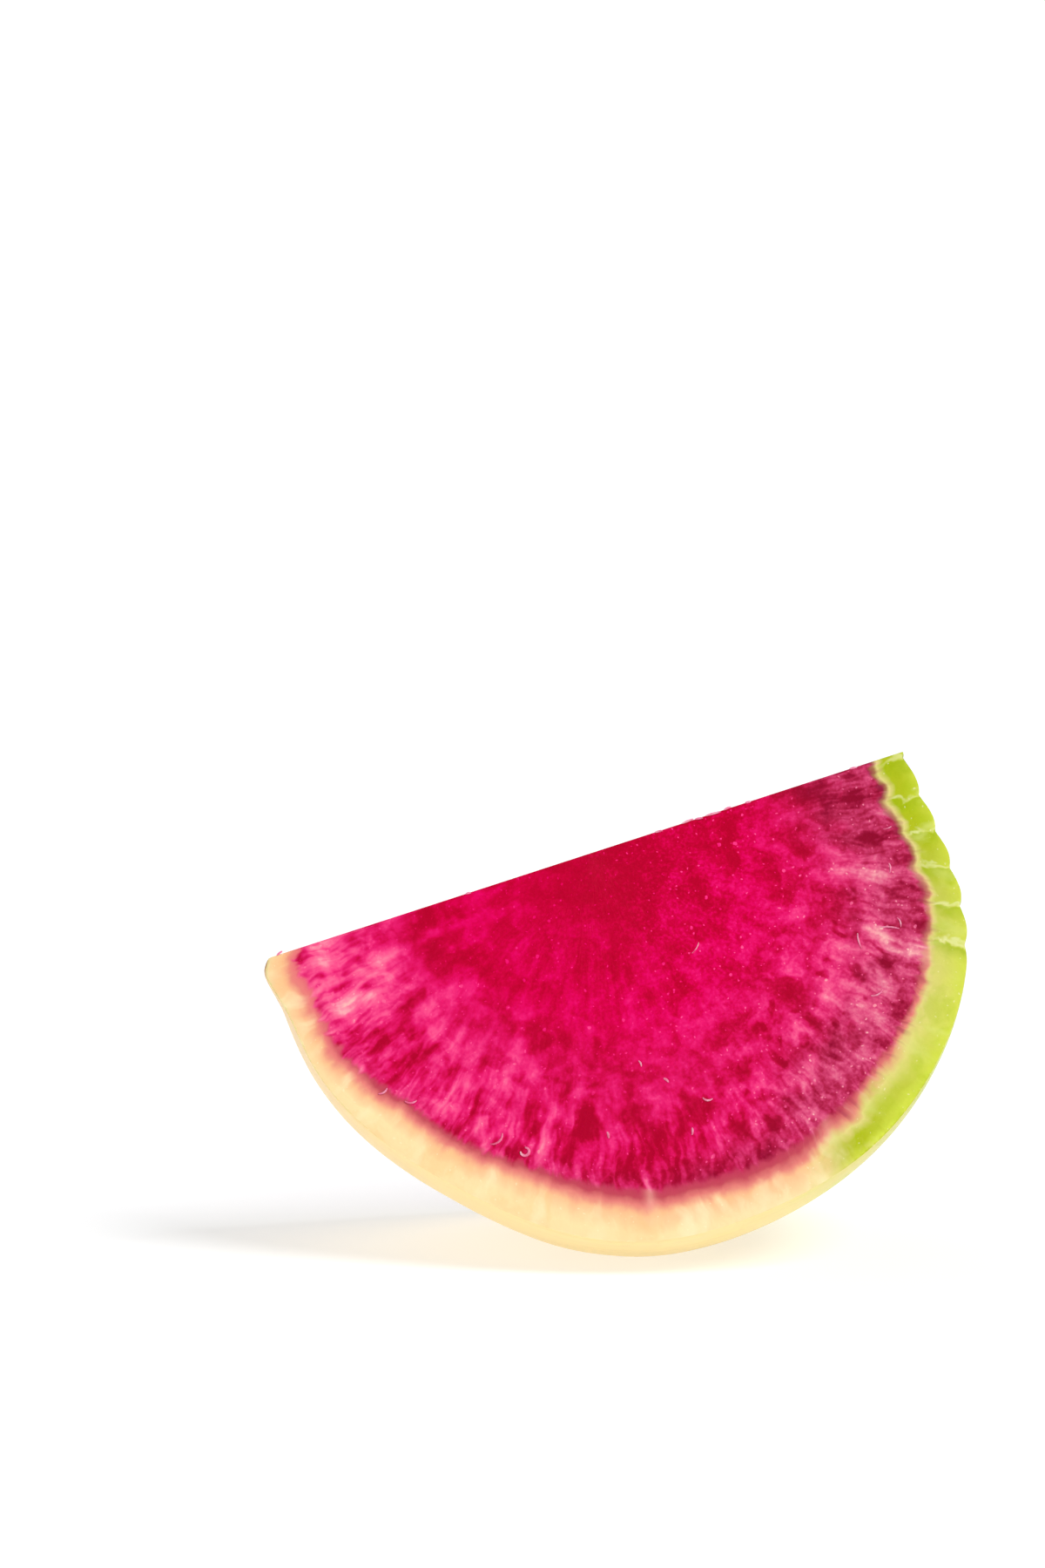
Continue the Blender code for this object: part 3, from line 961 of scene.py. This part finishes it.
def dressed_wedge():
    """The wedge's fine surface, standing where its solid stands."""
    points, triangles, facts, is_skin = wedge_surface()
    low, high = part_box(NODE)
    span_low, span_high = points.min(axis=0), points.max(axis=0)
    shift = np.array(((low.x + high.x) / 2, (low.y + high.y) / 2, low.z)) - (span_low + span_high) / 2
    shift[2] = low.z - span_low[2] - REST_SPOT_DEPTH
    points += shift

    on_skin = np.isin(np.arange(len(points)), triangles[is_skin])
    on_cut = np.isin(np.arange(len(points)), triangles[~is_skin])
    normals = point_normals(points, triangles)
    # The knife leaves edges that are a little round
    points[on_skin & on_cut] -= normals[on_skin & on_cut] * EDGE_ROUNDING * MM
    relieve_skin(points, facts, normals, on_skin & ~on_cut)
    relieve_cut_faces(points, facts, on_cut & ~on_skin)
    points[:, 2] = np.maximum(points[:, 2], low.z)

    wedge = smooth_piece(
        "fresh_radish_wedge", points, triangles.tolist(), waxy_radish_skin(), cut_radish_flesh())
    mesh = wedge.data
    mesh.polygons.foreach_set("material_index", (~is_skin).astype(np.int32))
    mesh.set_sharp_from_angle(angle=radians(35))
    store(mesh, "ray", facts[:, 0:3])
    inset = facts[:, 3] / np.maximum(facts[:, 4], 1e-6) - facts[:, 3]
    inset[facts[:, 4] == 0.0] = SKIN_INSET
    store(mesh, "rind", np.stack((inset, facts[:, 4], facts[:, 5]), axis=1))
    for name, values in zip(("tones", "marks", "fine"), flesh_finish(facts)):
        store(mesh, name, values)
    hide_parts(NODE)
    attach(wedge, "root")
    return shift


# Shreds that the knife lifted on the front cut face. Degrees from the crown and share of the flesh
# where each starts, its heading from the crown's direction in degrees, length in millimetres, how
# far it bends in degrees, and thickness in millimetres
SHREDS = (
    (121.2, 0.928, 20, 2.3, 270, 0.34),
    (125.9, 0.905, 100, 2.2, 110, 0.26),
    (36.6, 0.800, 110, 2.0, -30, 0.20),
    (34.2, 0.865, 10, 2.2, 25, 0.20),
    (31.5, 0.905, 60, 1.3, 60, 0.18),
    (84.1, 0.754, 150, 1.3, 110, 0.24),
    (92.3, 0.662, 40, 0.8, 40, 0.28),
    (106.1, 0.806, 80, 0.8, 30, 0.28),
    (90.0, 0.814, 95, 0.9, 30, 0.24),
    (97.0, 0.600, 60, 0.8, 50, 0.18),
    (45.3, 0.905, 130, 1.7, 80, 0.20),
    (60.2, 0.394, 120, 1.6, 40, 0.14),
    (148.5, 0.975, 120, 1.3, 90, 0.24),
    (144.5, 0.980, 60, 1.5, -90, 0.24),
    (21.0, 0.930, 80, 1.2, 50, 0.18),
    (14.0, 0.950, 20, 1.0, -40, 0.18),
)
# Bits lying along the cut edge: height on the root's axis in millimetres, heading and length
EDGE_BITS = (
    (47.0, 6, 0.9), (50.3, -4, 1.4), (51.9, 9, 0.9), (53.2, 3, 1.8), (55.4, -6, 0.9), (58.0, 5, 0.7),
    (70.8, 4, 0.9), (24.0, 5, 0.6), (1.2, -20, 0.8),
)
EDGE_BIT_THICKNESS = 0.26
SHRED_STEPS = 12
SHRED_SIDES = 6
SHRED_FLATNESS = 0.45


def shred(start, along, across, out, heading, length, bend, thickness):
    """Rings of points of one thin curved shred, tapered at both ends and lifted in its middle."""
    steps = np.linspace(0.0, 1.0, SHRED_STEPS + 1)
    turned = np.radians(heading) + np.radians(bend) * (steps[:-1] + steps[1:]) / 2.0
    strides = np.stack((np.cos(turned), np.sin(turned)), axis=1) * length / SHRED_STEPS
    path = np.concatenate((np.zeros((1, 2)), np.cumsum(strides, axis=0)))
    radius = thickness / 2.0 * np.sqrt(np.sin(pi * (0.08 + 0.84 * steps)))
    lift = thickness * 0.10 + 0.05 * np.sin(pi * steps)
    rings = []
    for i in range(SHRED_STEPS + 1):
        ahead = path[min(i + 1, SHRED_STEPS)] - path[max(i - 1, 0)]
        ahead = ahead / np.linalg.norm(ahead)
        aside = ahead[0] * across - ahead[1] * along
        middle = start + (path[i, 0] * along + path[i, 1] * across + lift[i] * out) * MM
        for angle in 2.0 * pi * np.arange(SHRED_SIDES) / SHRED_SIDES:
            spoke = cos(angle) * aside + SHRED_FLATNESS * sin(angle) * out
            rings.append(middle + spoke * radius[i] * MM)
    return rings


def knife_shreds(shift):
    """All the lifted shreds, as one piece that lies on the cut face and the edge."""
    outline = root_outline()
    line = np.stack((outline[:, 0], wedge_reach(outline[:, 0], outline[:, 1], -HALF_ANGLE)), axis=1)
    along = np.array((cos(CROWN_LIFT), 0.0, sin(CROWN_LIFT)))
    across = place(ROOT_MIDDLE, 1.0, -HALF_ANGLE) - place(ROOT_MIDDLE, 0.0, -HALF_ANGLE)
    out = -np.cross(along, across)
    points = []
    for degrees, flesh, heading, length, bend, thickness in SHREDS:
        angle = radians(degrees)
        reach = flesh * (outline_reach(line, angle) - follow(degrees, *RIND_THICKNESS) * MM)
        start = place(HUB_HEIGHT + reach * cos(angle), reach * sin(angle), -HALF_ANGLE) + shift
        points += shred(start, along, across, out, heading, length, bend, thickness)
    for height, heading, length in EDGE_BITS:
        start = place(height * MM, 0.0, 0.0) + shift
        points += shred(start, along, across, out, heading, length, 0, EDGE_BIT_THICKNESS)
    faces = []
    last = SHRED_STEPS * SHRED_SIDES
    for first in range(0, len(points), last + SHRED_SIDES):
        for i in range(first, first + last, SHRED_SIDES):
            for k in range(SHRED_SIDES):
                a, b = i + k, i + (k + 1) % SHRED_SIDES
                faces.append((a, b, b + SHRED_SIDES, a + SHRED_SIDES))
        faces.append(tuple(range(first, first + SHRED_SIDES))[::-1])
        faces.append(tuple(range(first + last, first + last + SHRED_SIDES)))
    shreds = smooth_piece("knife_shreds", points, faces, torn_radish_flesh())
    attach(shreds, "root")


# Camera, floor and light

PHOTO_SIZE = (1200, 1800)
EDGE_MIDDLE_IN_PHOTO = (672, 981.5)
CAMERA_TURN = radians(-9)
CAMERA_RISE = radians(7)
CAMERA_DISTANCE = 0.750
LENS = 150.0
SENSOR = 36.0
LAMP_AIM = (0.0, 0.0, 0.02)


def photo_camera(edge_middle):
    """Camera low in front of the wedge, a little to its root end, framed as the photo is."""
    scale = LENS / SENSOR * PHOTO_SIZE[1]
    level = cos(CAMERA_RISE)
    back = Vector((sin(CAMERA_TURN) * level, -cos(CAMERA_TURN) * level, sin(CAMERA_RISE)))
    right = Vector((0, 0, 1)).cross(back).normalized()
    up = back.cross(right)
    aside = (EDGE_MIDDLE_IN_PHOTO[0] - PHOTO_SIZE[0] / 2) / scale * CAMERA_DISTANCE
    above = (PHOTO_SIZE[1] / 2 - EDGE_MIDDLE_IN_PHOTO[1]) / scale * CAMERA_DISTANCE
    data = bpy.data.cameras.new("camera")
    data.lens = LENS
    data.sensor_width = SENSOR
    data.clip_start = 0.01
    camera = add_to_scene("camera", data)
    camera.location = edge_middle + back * CAMERA_DISTANCE - right * aside - up * above
    camera.rotation_euler = back.to_track_quat("Z", "Y").to_euler()
    bpy.context.scene.camera = camera


def paper_floor():
    """The sheet that the wedge stands on."""
    bpy.ops.mesh.primitive_plane_add(size=12.0)
    floor = bpy.context.object
    floor.name = "floor"
    floor.data.materials.append(studio_paper())


def soft_lamp(name, place_at, size, power):
    """A wide soft lamp that looks at the wedge."""
    data = bpy.data.lights.new(name, "AREA")
    data.shape = "RECTANGLE"
    data.size, data.size_y = size
    data.energy = power
    lamp = add_to_scene(name, data)
    lamp.location = place_at
    lamp.rotation_euler = (Vector(place_at) - Vector(LAMP_AIM)).to_track_quat("Z", "Y").to_euler()


def studio_light():
    """High-key studio: bright white all round, and soft light from above, behind, left and front."""
    world = bpy.data.worlds.new("white_studio")
    bpy.context.scene.world = world
    world.use_nodes = True
    tree = world.node_tree
    background = tree.nodes["Background"]
    seen = add_node(tree, "LightPath", output="Is Camera Ray")
    strength = add_node(tree, "MapRange", seen, 0.0, 1.0, 0.28, 1.1)
    background.inputs["Color"].default_value = (1.0, 1.0, 1.0, 1.0)
    tree.links.new(strength, background.inputs["Strength"])
    for name, energy, spread, direction in (
        ("ceiling", 2.24, 30, (0.66, -0.62, 1.0)),
        ("window_behind", 0.65, 60, (-0.35, 0.85, 0.60)),
    ):
        sun = bpy.data.lights.new(name, "SUN")
        sun.energy = energy
        sun.angle = radians(spread)
        lamp = add_to_scene(name, sun)
        lamp.rotation_euler = Vector(direction).to_track_quat("Z", "Y").to_euler()
    soft_lamp("left_fill", (-1.6, 0.15, 0.06), (1.0, 0.3), 8.0)
    soft_lamp("front_fill", (-0.3, -1.6, 0.22), (1.6, 0.4), 3.5)


def main():
    bpy.context.scene.view_settings.view_transform = "Standard"
    shift = dressed_wedge()
    knife_shreds(shift)
    paper_floor()
    studio_light()
    photo_camera(Vector(place(ROOT_MIDDLE, 0.0, 0.0) + shift))


main()
